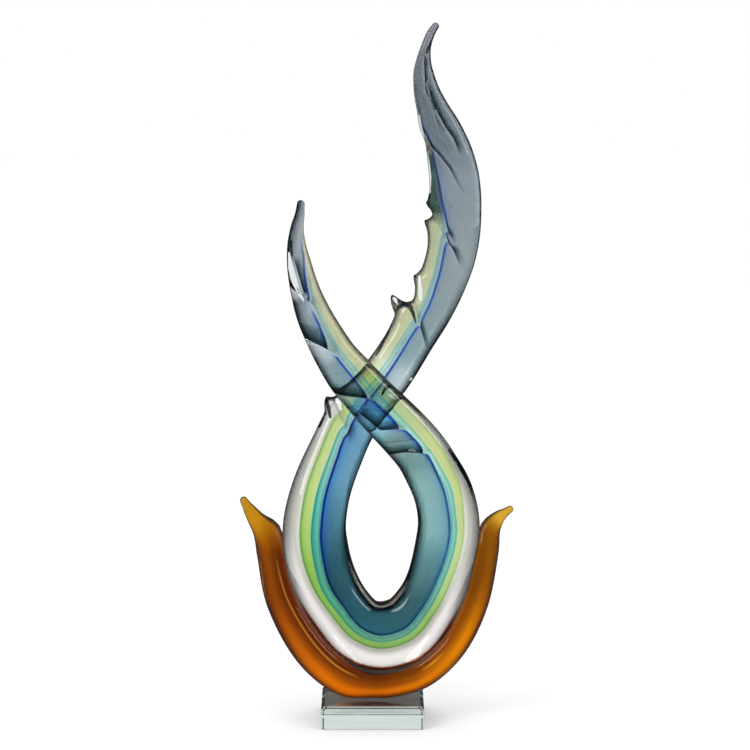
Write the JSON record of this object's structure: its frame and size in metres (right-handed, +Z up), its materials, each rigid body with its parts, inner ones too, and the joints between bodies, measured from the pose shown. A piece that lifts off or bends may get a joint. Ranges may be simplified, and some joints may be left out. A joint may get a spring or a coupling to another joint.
{
  "type": "glass sculpture",
  "caption": "Free-standing ornament: a striped cased-glass strand looped with crossed, flame-like ends, held in a horned amber cradle on a clear square block.",
  "frame": {"origin": "centre of the crystal block's underside, the face that the ornament rests on", "axes": "+Z up along the ornament's height, +X to the right of the ornament's front, the front faces -Y"},
  "size_m": [0.1938, 0.0724, 0.4938],
  "materials": {
    "crystal": "polished clear crystal with bevelled upper edges",
    "adhesive": "clear cured adhesive film",
    "amber_glass": "fire-polished amber glass",
    "clear_glass": "fire-polished clear glass",
    "lime_glass": "fire-polished lime glass",
    "aqua_glass": "fire-polished aqua glass",
    "cobalt_glass": "thin cobalt glass between two colours",
    "teal_glass": "fire-polished teal glass, greyer towards the points"
  },
  "bodies": {
    "root": {"base_block": "crystal", "glue_film": "adhesive", "amber_cradle": "amber_glass", "clear_casing": "clear_glass", "lime_layer": "lime_glass", "aqua_layer": "aqua_glass", "cobalt_veil": "cobalt_glass", "teal_core": "teal_glass"}
  },
  "joints": []
}
